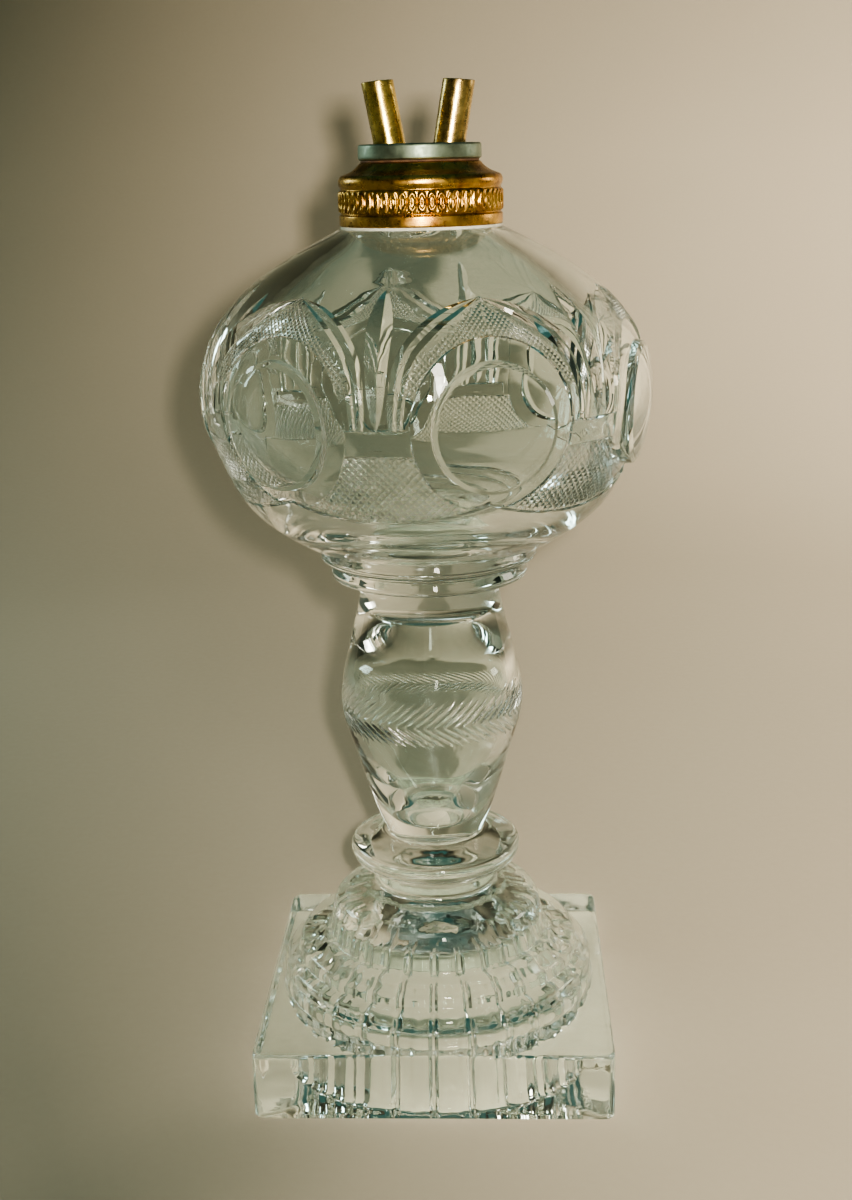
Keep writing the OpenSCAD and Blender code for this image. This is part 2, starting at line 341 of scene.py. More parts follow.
def metal(name, light, deep, stain, rough, grain=(1, 1, 14), wear=0.5):
    """Old metal: two shades of its own colour, stains in patches, and fine turning marks."""
    n = Nodes(name)
    patches = n.noise(170, 5, 0.65)
    base = n.ramp(patches, [(0.32, deep), (0.62, light)])
    spots = n.spread(n.noise(420, 6, 0.7, distortion=0.4), 0.0, wear, 0.5, 0.72)
    dark = n.ramp(n.noise(60, 3), [(0.3, stain), (0.8, tuple(c * 1.5 for c in stain))])
    turned = n.noise(300, 3, stretch=grain)
    normal = n.bump(turned, 0.02)
    normal = n.bump(n.noise(2200, 2), 0.01, normal)
    return n.set(Base_Color=n.mix(base, dark, spots), Metallic=1.0,
                 Roughness=n.spread(n.noise(520, 4, 0.6), rough[0], rough[1], 0.3, 0.7),
                 Normal=normal)


def rough_material(name, light, deep, rough, scale, height, **more):
    """Plaster, leather or cotton: two shades and a matt grain."""
    n = Nodes(name)
    grain = n.noise(scale, 5, 0.65)
    colour = n.ramp(n.noise(scale / 4, 4), [(0.3, deep), (0.7, light)])
    return n.set(Base_Color=colour, Roughness=n.spread(grain, rough - 0.1, rough + 0.1),
                 Normal=n.bump(grain, height), **more)


# Tints of the thin blown glass and of the thicker pressed glass, at each surface
CLEAR = (0.905, 0.97, 0.955)
PRESSED = (0.805, 0.90, 0.88)
FUSED = join_material()
BLOWN_GLASS = [
    glass("blown_glass", CLEAR, (0.0, 0.012), wave=0.05, dimple=0.002, pits=0.0004), FUSED,
    glass("cut_glass", CLEAR, (0.14, 0.30), wave=0.03, dimple=0.002, pits=0.004)]
PRESSED_GLASS = [
    glass("pressed_glass", PRESSED, (0.0, 0.05), wave=0.30, dimple=0.05, pits=0.004), FUSED]

COLLAR_BRASS = metal("collar_brass", (0.60, 0.38, 0.12), (0.33, 0.16, 0.05), (0.06, 0.03, 0.012),
                     (0.22, 0.40), wear=0.55)
THREAD_BRASS = metal("thread_brass", (0.70, 0.52, 0.22), (0.45, 0.32, 0.12), (0.08, 0.06, 0.03),
                     (0.28, 0.45))
PEWTER = metal("pewter", (0.29, 0.34, 0.27), (0.18, 0.22, 0.17), (0.07, 0.09, 0.07),
               (0.38, 0.56), wear=0.35)
SOLDER = metal("solder", (0.62, 0.62, 0.60), (0.42, 0.42, 0.41), (0.15, 0.15, 0.14),
               (0.30, 0.50))
LEFT_BRASS = metal("tube_brass_left", (0.72, 0.55, 0.20), (0.42, 0.31, 0.10), (0.10, 0.08, 0.03),
                   (0.20, 0.36), grain=(14, 14, 1), wear=0.3)
RIGHT_BRASS = metal("tube_brass_right", (0.55, 0.41, 0.18), (0.30, 0.21, 0.09),
                    (0.09, 0.06, 0.03), (0.20, 0.36), grain=(14, 14, 1), wear=0.3)
PLASTER = rough_material("plaster", (0.82, 0.79, 0.70), (0.62, 0.58, 0.48), 0.85, 900, 0.05)
LEATHER = rough_material("washer_leather", (0.20, 0.11, 0.06), (0.08, 0.045, 0.03), 0.65, 1400,
                         0.04)
COTTON = rough_material("wick_cotton", (0.80, 0.73, 0.58), (0.52, 0.44, 0.31), 0.9, 2600, 0.05,
                        Sheen_Weight=0.3)


# ---- Pressed base ---------------------------------------------------------

RIB_COUNT = 24
RIB_HALF_W, RIB_FLANK, RIB_DEPTH = 1.25, 0.85, 1.5
PILLOW_DEPTH = 0.45
# The hollow's crown is plain up to the first radius, and fully ribbed from the second
PLAIN_R, RIBBED_R = 21, 26
PLINTH_H = 20.1
PLINTH_EDGE = 1.1
CORNER_R = 2.5
DOME_R = 46.4
DOME_H = RING_Z - PLINTH_H


def square_reach(angle, half, corner):
    """Distance from the axis to the edge of a square with rounded corners."""
    fold = np.abs((angle + math.pi / 4) % (math.pi / 2) - math.pi / 4)
    side = half / np.cos(fold)
    centre = half - corner
    along = centre * (np.cos(fold) + np.sin(fold))
    turned = along + np.sqrt(np.maximum(along ** 2 - 2 * centre ** 2 + corner ** 2, 0))
    return np.where(half * np.tan(fold) > centre, turned, side)


def base_angles():
    """Angles with extra ones close to each rib and, at every third rib, the plinth's corner."""
    near = np.array([0.5, 1.05, 1.9, 2.7, 3.6, 5.0, 6.3])
    half = 180 / RIB_COUNT
    steps = np.concatenate([-near[::-1], [0], near, [half]])
    return np.radians(np.concatenate([k * 2 * half + steps for k in range(RIB_COUNT)]))


def base():
    """Square plinth, three-tier dome, and the stepped and ribbed hollow underneath."""
    angles = base_angles()
    half = 180 / RIB_COUNT
    from_rib = np.radians(np.abs((np.degrees(angles) + half) % (2 * half) - half))
    wobble = ripple(0.12, 4)
    pressed = ripple(0.45, 5)

    def inside(r, z, a):
        """How far the hollow's surface stands in or out: ribs, pillows and drawn unevenness."""
        rib = np.clip((RIB_HALF_W - r * from_rib) / RIB_FLANK, 0, 1)
        rib = rib * rib * (3 - 2 * rib)
        pillow = PILLOW_DEPTH * np.cos(np.clip(from_rib * RIB_COUNT / 2, 0, math.pi))
        drawn = 0.16 * np.sin(67 * a + 2 * np.sin(5 * a)) + 0.10 * np.sin(41 * a + z * 0.2)
        ribbed = np.clip((r - PLAIN_R) / (RIBBED_R - PLAIN_R), 0, 1)
        calm = np.clip(r / (2 * AXIS_CALM), 0, 1)
        return calm * pressed(r, z, a * 3) - ribbed * (RIB_DEPTH * rib + pillow + drawn)

    hollow = eased([(0, 42.4), (19, 39.8), (26.6, 38.6), (28.6, 31.4), (34.2, 30.4), (36.4, 22.6),
                    (41.2, 21.6), (43.2, 0.9), (43.9, 0)], 1.6)
    r, z = hollow[:, :1], hollow[:, 1:]
    rings = [space(r + inside(r, z, angles[None, :]), angles, z)]

    half_w = BASE_W / 2
    edge = PLINTH_EDGE
    sides = [(edge * 1.1, 0.0), (edge * 0.35, edge * 0.3), (0.0, edge)]
    sides += [(0.0, h) for h in np.linspace(3, PLINTH_H - 3, 6)]
    sides += [(0.0, PLINTH_H - edge), (edge * 0.12, PLINTH_H - edge * 0.45),
              (edge * 0.45, PLINTH_H - edge * 0.12), (edge, PLINTH_H)]
    for inset, height in sides:
        reach = square_reach(angles, half_w - inset, CORNER_R)
        reach = reach + wobble(reach, height, angles) * 0.7 - 0.05
        rings.append(space(reach, angles, height)[None])
    outer = square_reach(angles, half_w - 1.6, CORNER_R)
    for share in (0.0, 0.25, 0.5, 0.75):
        reach = outer + (DOME_R + 1.2 - outer) * share
        rings.append(space(reach, angles, PLINTH_H)[None])

    tiers = np.array([(DOME_R + 1.0, 0.0), (DOME_R + 0.1, 0.5), (DOME_R, 2.4), (DOME_R - 0.2, 8.1),
                      (DOME_R - 4.1, 9.6), (DOME_R - 4.4, 10.0), (DOME_R - 4.6, 13.5),
                      (DOME_R - 9.4, 14.6), (DOME_R - 13.8, 15.0), (DOME_R - 14.2, 17.6),
                      (DOME_R - 15.8, 26.2), (NECK_R + 4.4, 29.9), (NECK_R + 2.4, 30.3),
                      (NECK_R + 0.6, 31.0), (NECK_R, 32.4), (NECK_R, DOME_H - 0.1)])
    dome = eased(tiers + [0, PLINTH_H], 2.6, 5)
    r, z = dome[:, :1], dome[:, 1:]
    level = np.clip((BASE_HIGH[2] - 0.2 - z) / 3, 0, 1)
    reach = r + wobble(r, z, angles[None, :]) * level
    rings.append(space(reach, angles, z))

    shell = Shell()
    shell.rings(np.concatenate(rings), GLASS)
    shell.turn([([(NECK_R, DOME_H - 0.1 + PLINTH_H)], GLASS),
                ([(NECK_R, RING_Z), (0, RING_Z)], JOIN)], angles)
    piece = shell.piece("pressed_base", "base", "clear_glass", PRESSED_GLASS, 40)
    # Clear glass passes light on to the paper under it, which its traced shadow would block
    piece.visible_shadow = False


# ---- Stem and wafers ------------------------------------------------------


def gather(low_z, high_z, low_r, high_r, rim, seed):
    """A ring or wafer of glass between two fused faces; rim gives its side, from low to high."""
    shell = Shell()
    shell.turn([([(0, low_z), (low_r, low_z)], JOIN), ([(low_r, low_z)], GLASS),
                (rim, GLASS), ([(high_r, high_z)], GLASS),
                ([(high_r, high_z), (0, high_z)], JOIN)], around(144),
               ripple_rim(low_r, high_r, seed))
    return shell


def ripple_rim(low_r, high_r, seed):
    """Unevenness that leaves the fused faces exactly where they are."""
    wave = ripple(0.22, seed)
    widest = max(low_r, high_r)

    def dent(r, z, a):
        return wave(r, z, a) * np.clip((r - widest) / 2, 0, 1)
    return dent


def foot_ring():
    """The rounded ring between the base and the stem."""
    h = STEM_Z - RING_Z
    rim = curve([(NECK_R + 0.3, 0.35), (NECK_R + 3.2, 0.9), (RING_R - 1.4, 1.6), (RING_R, 4.3),
                 (RING_R - 0.9, 7.0), (STEM_FOOT_R + 5.2, 8.8), (STEM_FOOT_R + 1.4, 9.7),
                 (STEM_FOOT_R + 0.15, h - 0.25)]) + [0, RING_Z]
    return gather(RING_Z, STEM_Z, NECK_R, STEM_FOOT_R, rim, 11).piece(
        "foot_ring_glass", "foot_ring", "clear_glass", BLOWN_GLASS)


def wafers():
    """The two wafers between the stem and the font, the lower one smaller."""
    h = UPPER_WAFER_Z - LOWER_WAFER_Z
    r = LOWER_WAFER_R
    rim = curve([(STEM_TOP_R + 0.3, 0.3), (r - 3, 0.7), (r - 0.5, 1.5), (r, 2.7), (r - 0.4, 3.9),
                 (WAFER_JOIN_R + 0.5, h - 0.5), (WAFER_JOIN_R + 0.1, h - 0.15)]) + [0, LOWER_WAFER_Z]
    gather(LOWER_WAFER_Z, UPPER_WAFER_Z, STEM_TOP_R, WAFER_JOIN_R, rim, 12).piece(
        "lower_wafer_glass", "lower_wafer", "clear_glass", BLOWN_GLASS)
    h = FONT_Z - UPPER_WAFER_Z
    r = UPPER_WAFER_R
    rim = curve([(WAFER_JOIN_R + 0.1, 0.15), (WAFER_JOIN_R + 1.2, 0.5), (r - 0.7, 1.3),
                 (r, 2.8), (r - 0.35, 4.4), (FONT_JOIN_R + 0.1, h - 0.35),
                 (FONT_JOIN_R, h - 0.1)]) + [0, UPPER_WAFER_Z]
    gather(UPPER_WAFER_Z, FONT_Z, WAFER_JOIN_R, FONT_JOIN_R, rim, 13).piece(
        "upper_wafer_glass", "upper_wafer", "clear_glass", BLOWN_GLASS)


STROKES = 60
STROKE_STEPS = 10
STROKE_DEPTH = 0.62
# Half of a stroke's width, as a share of the space for one stroke
STROKE_HALF_W = 0.36
# How far the strokes of the lower and upper row slant round the stem as they rise
STROKE_LEAN = (1.45, 1.2)
BAND_LOW, BAND_MID, BAND_HIGH = 101.6, 107.6, 115.0
BUBBLE_WALL = 3.8


def stem_side(steps):
    """The baluster's outline, from the foot ring to the lower wafer."""
    rise, fall = BELLY_R - STEM_FOOT_R, BELLY_R - STEM_TOP_R
    h = LOWER_WAFER_Z - STEM_Z
    stations = [(STEM_FOOT_R, 0), (STEM_FOOT_R + rise * 0.26, 8), (STEM_FOOT_R + rise * 0.65, 23.5),
                (BELLY_R, 40), (STEM_TOP_R + fall * 0.6, 55), (STEM_TOP_R, 70), (STEM_TOP_R, h)]
    return curve(stations, steps) + [0, STEM_Z]


def stem():
    """Baluster with a band of leaf strokes cut in two slanting rows, around a sealed bubble."""
    side = stem_side(8)
    heights = np.concatenate([side[side[:, 1] < BAND_LOW - 1, 1],
                              np.linspace(BAND_LOW, BAND_HIGH, 41),
                              side[side[:, 1] > BAND_HIGH + 1, 1]])
    fine = stem_side(40)
    radii = np.interp(heights, fine[:, 1], fine[:, 0])
    columns = around(STROKES * STROKE_STEPS)
    phase = np.arange(STROKES * STROKE_STEPS) % STROKE_STEPS / STROKE_STEPS
    number = np.arange(STROKES * STROKE_STEPS) // STROKE_STEPS
    rng = np.random.default_rng(31)
    deep = rng.uniform(0.75, 1.1, (2, STROKES))
    long = rng.uniform(0.9, 1.05, (2, STROKES))
    rings, marks = [], []
    wobble = ripple(0.15, 21)
    for height, radius in zip(heights, radii):
        upper = int(height > BAND_MID)
        edge = (BAND_LOW, BAND_HIGH)[upper]
        from_mid = abs(np.clip(height, BAND_LOW, BAND_HIGH) - BAND_MID)
        slant = from_mid * STROKE_LEAN[upper] / BELLY_R
        angle = columns + slant
        reach = (height - BAND_MID) / (edge - BAND_MID)
        cut = 0
        if 0 < reach < 1:
            share = reach / long[upper][number]
            taper = np.clip(np.sin(math.pi * np.clip(share, 0, 1) ** 0.8), 0, 1) ** 0.55
            across = np.clip(taper - np.abs(phase - 0.5) / STROKE_HALF_W, 0, 1)
            cut = STROKE_DEPTH * deep[upper][number] * across
        free = np.clip((height - STEM_Z) / 6, 0, 1) * np.clip((LOWER_WAFER_Z - height) / 6, 0, 1)
        here = radius - cut + wobble(radius, height, angle) * free
        rings.append(space(here, angle, height))
        marks.append(CUT if 0.03 < reach < 0.97 and np.size(cut) > 1 else GLASS)
    shell = Shell()
    shell.rings(np.array(rings), marks)
    low = columns + (BAND_MID - BAND_LOW) * STROKE_LEAN[0] / BELLY_R
    high = columns + (BAND_HIGH - BAND_MID) * STROKE_LEAN[1] / BELLY_R
    shell.turn([([(0, STEM_Z), (radii[0], STEM_Z)], JOIN)], low)
    shell.turn([([(radii[-1], LOWER_WAFER_Z), (0, LOWER_WAFER_Z)], JOIN)], high)
    belly = BELLY_R - BUBBLE_WALL
    bubble = curve([(0, 3.6), (4.5, 4.3), (8.2, 7), (13.6, 15), (belly - 3.4, 27), (belly, 40),
                    (belly - 2.2, 53), (12.4, 63.6), (11.2, 65.4), (8.6, 66.3), (4, 66.9),
                    (0, 67.0)]) + [0, STEM_Z]
    shell.turn([(bubble, GLASS)], around(160), ripple(0.3, 22), inward=True)
    return shell.piece("stem_glass", "stem", "clear_glass", BLOWN_GLASS, 30)


# ---- Font -----------------------------------------------------------------

FONT_STATIONS = np.array([(31.2, 0), (36.8, 2), (49.6, 11.9), (57.6, 26.5), (61.2, 40), (60.8, 50),
                          (57.6, 60), (48.6, 70.6), (37.2, 78.6), (22.3, 86.4)])
SHOULDER_Z = FONT_Z + FONT_STATIONS[-1][1]
# The cutting lies between these heights
CUT_LOW, CUT_HIGH = FONT_Z + 14.9, FONT_Z + 74.4
SIDE = curve(FONT_STATIONS, 24) + [0, FONT_Z]
SIDE_LENGTH = np.concatenate([[0], np.cumsum(np.linalg.norm(np.diff(SIDE, axis=0), axis=1))])
WIDEST = FONT_STATIONS[:, 0].max()
# Length of a degree round the widest part
DEGREE = math.radians(WIDEST)
# Directions of the six roundels in degrees, which are as uneven as hand cutting left them
ROUNDELS = (-71.0, -14.3, 45.2, 106.2, 169.2, 233.2)
ROUNDEL_Z = FONT_Z + 40.4
ROUNDEL_R = 16.3
# A roundel's face: how far out it is at FACE_Z, and the radius of its bow
FACE_R, FACE_BOW, FACE_Z = 62.6, 51.5, FONT_Z + 42.4
BEVEL_R, WALL_R = ROUNDEL_R - 1.25, ROUNDEL_R + 0.4
# The sunk band round a roundel, and the width of the slope at its edge
BAND_R, BAND_LIFT, BAND_DEPTH = 21.8, 0.5, 0.8
EDGE = 0.35
MITRE_HALF_W, MITRE_DEPTH = 0.75, 0.45
FLUTE_SLOPE = 0.62
# The block under the fan, and the direction from a roundel's centre where its crescent starts
BLOCK_LOW, BLOCK_HIGH = FONT_Z + 34.6, FONT_Z + 40.7
BLOCK_W, BLOCK_DEPTH = 7.6, 0.75
CRESCENT_START = math.degrees(math.asin(11.0 / 22.2))
FIELD_TOP = BLOCK_LOW - 0.4
ARCH_H = 71.4
# Half of a fan's width in degrees, in a sector of average width
FAN = 27.8
SEAM_STEPS = 24


def side_radius(z):
    """Radius of the font's plain side at a height."""
    return np.interp(z, SIDE[:, 1], SIDE[:, 0])


def side_length(z):
    """Length along the font's side from its foot to a height."""
    return np.interp(z, SIDE[:, 1], SIDE_LENGTH)


def side_height(length):
    """Height at a length along the font's side."""
    return np.interp(length, SIDE_LENGTH, SIDE[:, 1])


def face_radius(z):
    """Radius of the roundels' faces, which are flatter than the font's side."""
    return FACE_R - FACE_BOW + np.sqrt(np.maximum(FACE_BOW ** 2 - (z - FACE_Z) ** 2, 0))


def flat(degrees, z):
    """A point on the font's side laid flat: millimetres round the widest part, and up the side."""
    degrees, z = np.broadcast_arrays(np.asarray(degrees, float), np.asarray(z, float))
    return np.stack([degrees * DEGREE, side_length(z)], -1)


def inside(points, polygon):
    """Which points lie in a polygon, by counting the edges to one side of each."""
    x, y = points[:, :1], points[:, 1:]
    a, b = polygon, np.roll(polygon, -1, axis=0)
    crosses = (a[:, 1] > y) != (b[:, 1] > y)
    rise = np.where(b[:, 1] == a[:, 1], 1, b[:, 1] - a[:, 1])
    at = (b[:, 0] - a[:, 0]) * (y - a[:, 1]) / rise + a[:, 0]
    return (crosses & (x < at)).sum(1) % 2 == 1


def gap(points, line):
    """Distance of each point from a polyline."""
    a, b = line[:-1], line[1:]
    ab = b - a
    t = ((points[:, None] - a) * ab).sum(-1) / np.maximum((ab ** 2).sum(-1), 1e-12)
    near = a + np.clip(t, 0, 1)[..., None] * ab
    return np.linalg.norm(points[:, None] - near, axis=-1).min(1)


def distance(points, line):
    """Distance of each point from a polyline, with widths as they are at that height."""
    def true(p):
        return p * np.stack([side_radius(side_height(p[:, 1])) / WIDEST, np.ones(len(p))], -1)
    return gap(true(points), true(line))


def mirrored(line):
    """The same line on the other side of the fan."""
    return line * [-1, 1]


def folded(points):
    """The same points, all brought to the right-hand side of the fan."""
    return np.stack([np.abs(points[:, 0]), points[:, 1]], -1)


class Hatch:
    """Crossed grooves cut into a polygon, evenly about the upright line at x."""

    def __init__(self, polygon, x, pitch, slope, depth):
        self.polygon, self.x, self.pitch, self.depth = polygon, x, pitch, depth
        self.lean = np.array([math.sin(slope), math.cos(slope)])

    def counts(self, points):
        """How many grooves up each family a point lies, as two columns."""
        p = (points - [self.x, 0]) / self.pitch
        return np.stack([p @ (self.lean * [-1, 1]), p @ self.lean], -1)

    def holds(self, points):
        """Which points are in the polygon or on its edge."""
        return inside(points, self.polygon) | (gap(points, self.loop()) < 0.02)

    def loop(self):
        """The polygon's outline, closed."""
        return np.vstack([self.polygon, self.polygon[:1]])

    def height(self, points):
        """Level of small pyramids between the grooves, zero at their tips."""
        counts = self.counts(points)
        off = np.abs(counts - np.round(counts)).min(1)
        return self.depth * (2 * off - 1)

    def grooves(self):
        """Each groove's stretches inside the polygon."""
        loop = self.loop()
        counts = self.counts(loop)
        found = []
        for family in (0, 1):
            c = counts[:, family]
            for k in range(math.ceil(c.min()), math.floor(c.max()) + 1):
                hits = []
                for p, q, a, b in zip(loop, loop[1:], c, c[1:]):
                    if (a < k) != (b < k):
                        hits.append(p + (q - p) * (k - a) / (b - a))
                hits.sort(key=lambda p: p[1])
                found += [(a, b) for a, b in zip(hits[::2], hits[1::2])
                          if np.linalg.norm(b - a) > 0.02]
        return found

    def tips(self):
        """The tips of the pyramids that lie wholly inside."""
        counts = self.counts(self.loop())
        low, high = np.floor(counts.min(0)), np.ceil(counts.max(0))
        a, b = np.meshgrid(np.arange(low[0], high[0]) + 0.5, np.arange(low[1], high[1]) + 0.5)
        a, b = a.ravel(), b.ravel()
        x = (b - a) * self.pitch / (2 * self.lean[0]) + self.x
        y = (a + b) * self.pitch / (2 * self.lean[1])
        points = np.stack([x, y], -1)
        points = points[inside(points, self.polygon)]
        return points[distance(points, self.loop()) > 0.2] if len(points) else points


class Sector:
    """The cutting between the centres of two roundels: a fan, its block and the hatched fields."""

    def __init__(self, first, second):
        self.middle = (first + second) / 2
        self.half = (second - first) / 2
        self.wide = self.half / FAN
        self.edge = self.half * DEGREE
        self.lines = []
        self.hatches = []
        self.flutes = []
        self.draw()

    def roundel_line(self, radius, start=-90, end=90):
        """Part of a circle about the right-hand roundel's centre; radius may be a function."""
        t = np.radians(np.linspace(start, end, max(int(abs(end - start) / 4), 2) + 1))
        size = radius(t) if callable(radius) else radius
        x, z = size * np.cos(t), ROUNDEL_Z + size * np.sin(t)
        degrees = self.half - np.degrees(np.arcsin(x / face_radius(z)))
        return flat(degrees, z)

    def roundel_place(self, points):
        """Distance and direction of points from the nearer roundel's centre."""
        z = side_height(points[:, 1])
        x = face_radius(z) * np.sin(np.radians(self.half - np.abs(points[:, 0]) / DEGREE))
        return np.hypot(x, z - ROUNDEL_Z), np.arctan2(z - ROUNDEL_Z, x)

    @staticmethod
    def band_reach(t):
        """Outer radius of the band round a roundel, in direction t."""
        return BAND_R + BAND_LIFT * np.sin(t)

    def mitre_height(self, x):
        """Height of the line that ends the cutting: lowest under the fan, highest under a roundel."""
        return FONT_Z + 16.6 + 4.4 * np.clip(np.abs(x) / self.edge, 0, 1) ** 2.2

    def fan_line(self, stations):
        """A curve through (degrees, height above the foot), fitted to the sector's width."""
        line = curve(np.array(stations) * [self.wide, 1] + [0, FONT_Z], 7)
        return flat(line[:, 0], line[:, 1])

    def both(self, line):
        """Draws a line on both sides of the fan."""
        self.lines += [line, mirrored(line)]

    def draw(self):
        """Lines that the mesh follows: flutes, leaf, block, roundels, mitre line and fields."""
        foot = BLOCK_HIGH + EDGE - FONT_Z
        inner = self.fan_line([(2.9, foot), (2.7, 47), (4.0, 57.2),
                               (8.8, 64.4), (17, 69.2), (FAN, ARCH_H)])
        ridge = self.fan_line([(4.7, foot), (5.3, 48.5), (7.5, 58.2),
                               (13.4, 64.6), (21, 68.8), (FAN, ARCH_H)])
        outer = self.fan_line([(6.1, foot), (7.3, 50.5), (10.8, 57.9),
                               (18.2, 64.3), (24, 68.2), (FAN, ARCH_H)])
        for low, high in ((inner, ridge), (ridge, outer)):
            self.flutes.append((low, high))
            self.both((low + high) / 2)
        for line in (inner, ridge, outer):
            self.both(line)
        bottom = np.array([inner[0], outer[0]])
        self.both(bottom)

        leaf = np.array([(0.15, foot), (1.6, 45.5), (2.6, 53), (3.2, 62),
                         (3.0, 67), (1.6, 71.4), (0, 73.4)])
        leaf = curve(leaf, 5) + [0, FONT_Z]
        right = flat(np.degrees(leaf[:, 0] / side_radius(leaf[:, 1])), leaf[:, 1])
        self.flutes.append((right, mirrored(right)))
        self.both(right)
        self.lines.append(right * [0, 1])

        width = BLOCK_W * self.wide * DEGREE
        self.block_width = width
        for w, low, high in ((width, BLOCK_LOW, BLOCK_HIGH),
                             (width + EDGE, BLOCK_LOW - 0.05, BLOCK_HIGH + EDGE)):
            y0, y1 = side_length(low), side_length(high)
            self.lines.append(np.array([(-w, y0), (w, y0), (w, y1), (-w, y1), (-w, y0)]))

        for radius in (BEVEL_R, ROUNDEL_R, WALL_R, self.band_reach,
                       lambda t: self.band_reach(t) - EDGE):
            self.both(self.roundel_line(radius))

        x = np.linspace(0, self.edge, 22)
        middle = side_length(self.mitre_height(x))
        for off in (-MITRE_HALF_W, 0, MITRE_HALF_W):
            self.both(np.stack([x, middle + off], -1))

        tip = outer[:, 1] > side_length(FONT_Z + 48)
        arc = self.roundel_line(self.band_reach, 90, CRESCENT_START)
        crescent = np.vstack([outer[tip], arc])
        self.hatches.append(Hatch(crescent, self.edge, pitch=1.15,
                                  slope=math.radians(48), depth=0.3))
        field = self.roundel_line(self.band_reach, -17, -90)
        rim = side_length(self.mitre_height(field[:, 0])) + MITRE_HALF_W
        field = field[field[:, 1] > rim + 0.1]
        field = field[field[:, 0] < self.edge - 1.5]
        x = np.linspace(field[-1][0], 0, 20)
        floor = np.stack([x, side_length(self.mitre_height(x)) + MITRE_HALF_W], -1)
        right = np.vstack([[(0, side_length(FIELD_TOP))],
                           [(field[0][0], side_length(FIELD_TOP))], field, floor])
        whole = np.vstack([right, mirrored(right[::-1])[1:-1]])
        self.hatches.append(Hatch(whole, 0, pitch=1.62, slope=math.radians(46), depth=0.42))
        self.lines.append(np.vstack([whole, whole[:1]]))
        self.both(np.vstack([crescent, crescent[:1]]))

    def height(self, points):
        """How far the cut surface stands out from the font's plain side, in millimetres."""
        half = folded(points)
        z = side_height(points[:, 1])
        rho, t = self.roundel_place(points)
        mitre = points[:, 1] - side_length(self.mitre_height(points[:, 0]))
        level = -MITRE_DEPTH * np.clip(1 - np.abs(mitre) / MITRE_HALF_W, 0, 1)
        band = np.clip((self.band_reach(t) - rho) / EDGE, 0, 1)
        band = band * np.clip(mitre / MITRE_HALF_W, 0, 1)
        level = np.minimum(level, -BAND_DEPTH * band)
        side = np.clip((self.block_width + EDGE - half[:, 0]) / EDGE, 0, 1)
        top = np.clip((side_length(BLOCK_HIGH) + EDGE - points[:, 1]) / EDGE, 0, 1)
        rise = np.clip((z - BLOCK_LOW) / (BLOCK_HIGH - BLOCK_LOW), 0, 1)
        level = np.minimum(level, -BLOCK_DEPTH * side * top * rise)
        for edges in self.flutes:
            polygon = np.vstack([edges[0], edges[1][::-1]])
            held = inside(half, polygon) | inside(points, polygon)
            if held.any():
                off = np.min([distance(half[held], e) for e in edges], axis=0)
                level[held] = np.minimum(level[held], -FLUTE_SLOPE * off)
        for hatch in self.hatches:
            where = half if hatch.x else points
            held = hatch.holds(where)
            if held.any():
                level[held] = np.minimum(level[held], hatch.height(where[held]))
        proud = face_radius(z) - side_radius(z)
        bevel = np.clip((rho - BEVEL_R) / (ROUNDEL_R - BEVEL_R), 0, 1)
        wall = np.clip((rho - ROUNDEL_R) / (WALL_R - ROUNDEL_R), 0, 1)
        roundel = (proud - 0.55 * bevel) * (1 - wall) - BAND_DEPTH * wall
        return np.where(rho < WALL_R, roundel, level)

    def hatched(self, points):
        """Which points lie in the two crescents or in the field under the block."""
        crescent, field = self.hatches
        return inside(folded(points), crescent.polygon) | inside(points, field.polygon)

    def seam(self):
        """Angles of the sector's points along its lower and upper edges, without the last."""
        return np.radians(self.middle + np.linspace(-self.half, self.half, SEAM_STEPS + 1)[:-1])

    def build(self):
        """Points in space, triangles and their material numbers."""
        low, high = side_length(CUT_LOW), side_length(CUT_HIGH)
        across = np.linspace(-self.edge, self.edge, SEAM_STEPS + 1)
        up = np.linspace(low, high, 30)
        frame_lines = [np.stack([across, 0 * across + y], -1) for y in (low, high)]
        frame_lines += [np.stack([0 * up + x, up], -1) for x in (-self.edge, self.edge)]
        points, edges = [], []
        for line in self.lines + frame_lines:
            first = len(points)
            points += line.tolist()
            edges += [(first + i, first + i + 1) for i in range(len(line) - 1)]
        for hatch in self.hatches:
            for a, b in hatch.grooves():
                for sign in ((1, -1) if hatch.x else (1,)):
                    edges.append((len(points), len(points) + 1))
                    points += [(a[0] * sign, a[1]), (b[0] * sign, b[1])]
        fixed = np.array(points)
        loose = self.loose_points(fixed, low, high)
        for hatch in self.hatches:
            tips = hatch.tips()
            loose.append(tips)
            if hatch.x:
                loose.append(mirrored(tips))
        points += np.vstack(loose).tolist()
        flat_points, _, triangles, _, _, _ = delaunay_2d_cdt(
            [Vector(p) for p in points], edges, [], 0, 1e-4)
        p = np.array([tuple(v) for v in flat_points])
        z = side_height(p[:, 1])
        r = side_radius(z) + self.height(p)
        a = np.radians(self.middle + p[:, 0] / DEGREE)
        cut = self.hatched(p[np.array(triangles)].mean(1))
        marks = np.where(cut, CUT, GLASS).tolist()
        return space(r, a, z), [list(t) for t in triangles], marks

    def loose_points(self, fixed, low, high):
        """An even scatter over the plain glass, clear of the drawn lines and the hatching."""
        step = 2.3
        rows = []
        for k, y in enumerate(np.arange(low + step / 2, high - step / 3, step * 0.87)):
            x = np.arange(-self.edge + step * (0.5 + 0.5 * (k % 2)), self.edge - step / 3, step)
            rows.append(np.stack([x, 0 * x + y], -1))
        spots = np.vstack(rows)
        far = np.array([np.hypot(*(fixed - s).T).min() > 0.9 for s in spots])
        spots = spots[far]
        return [spots[~self.hatched(spots)]]


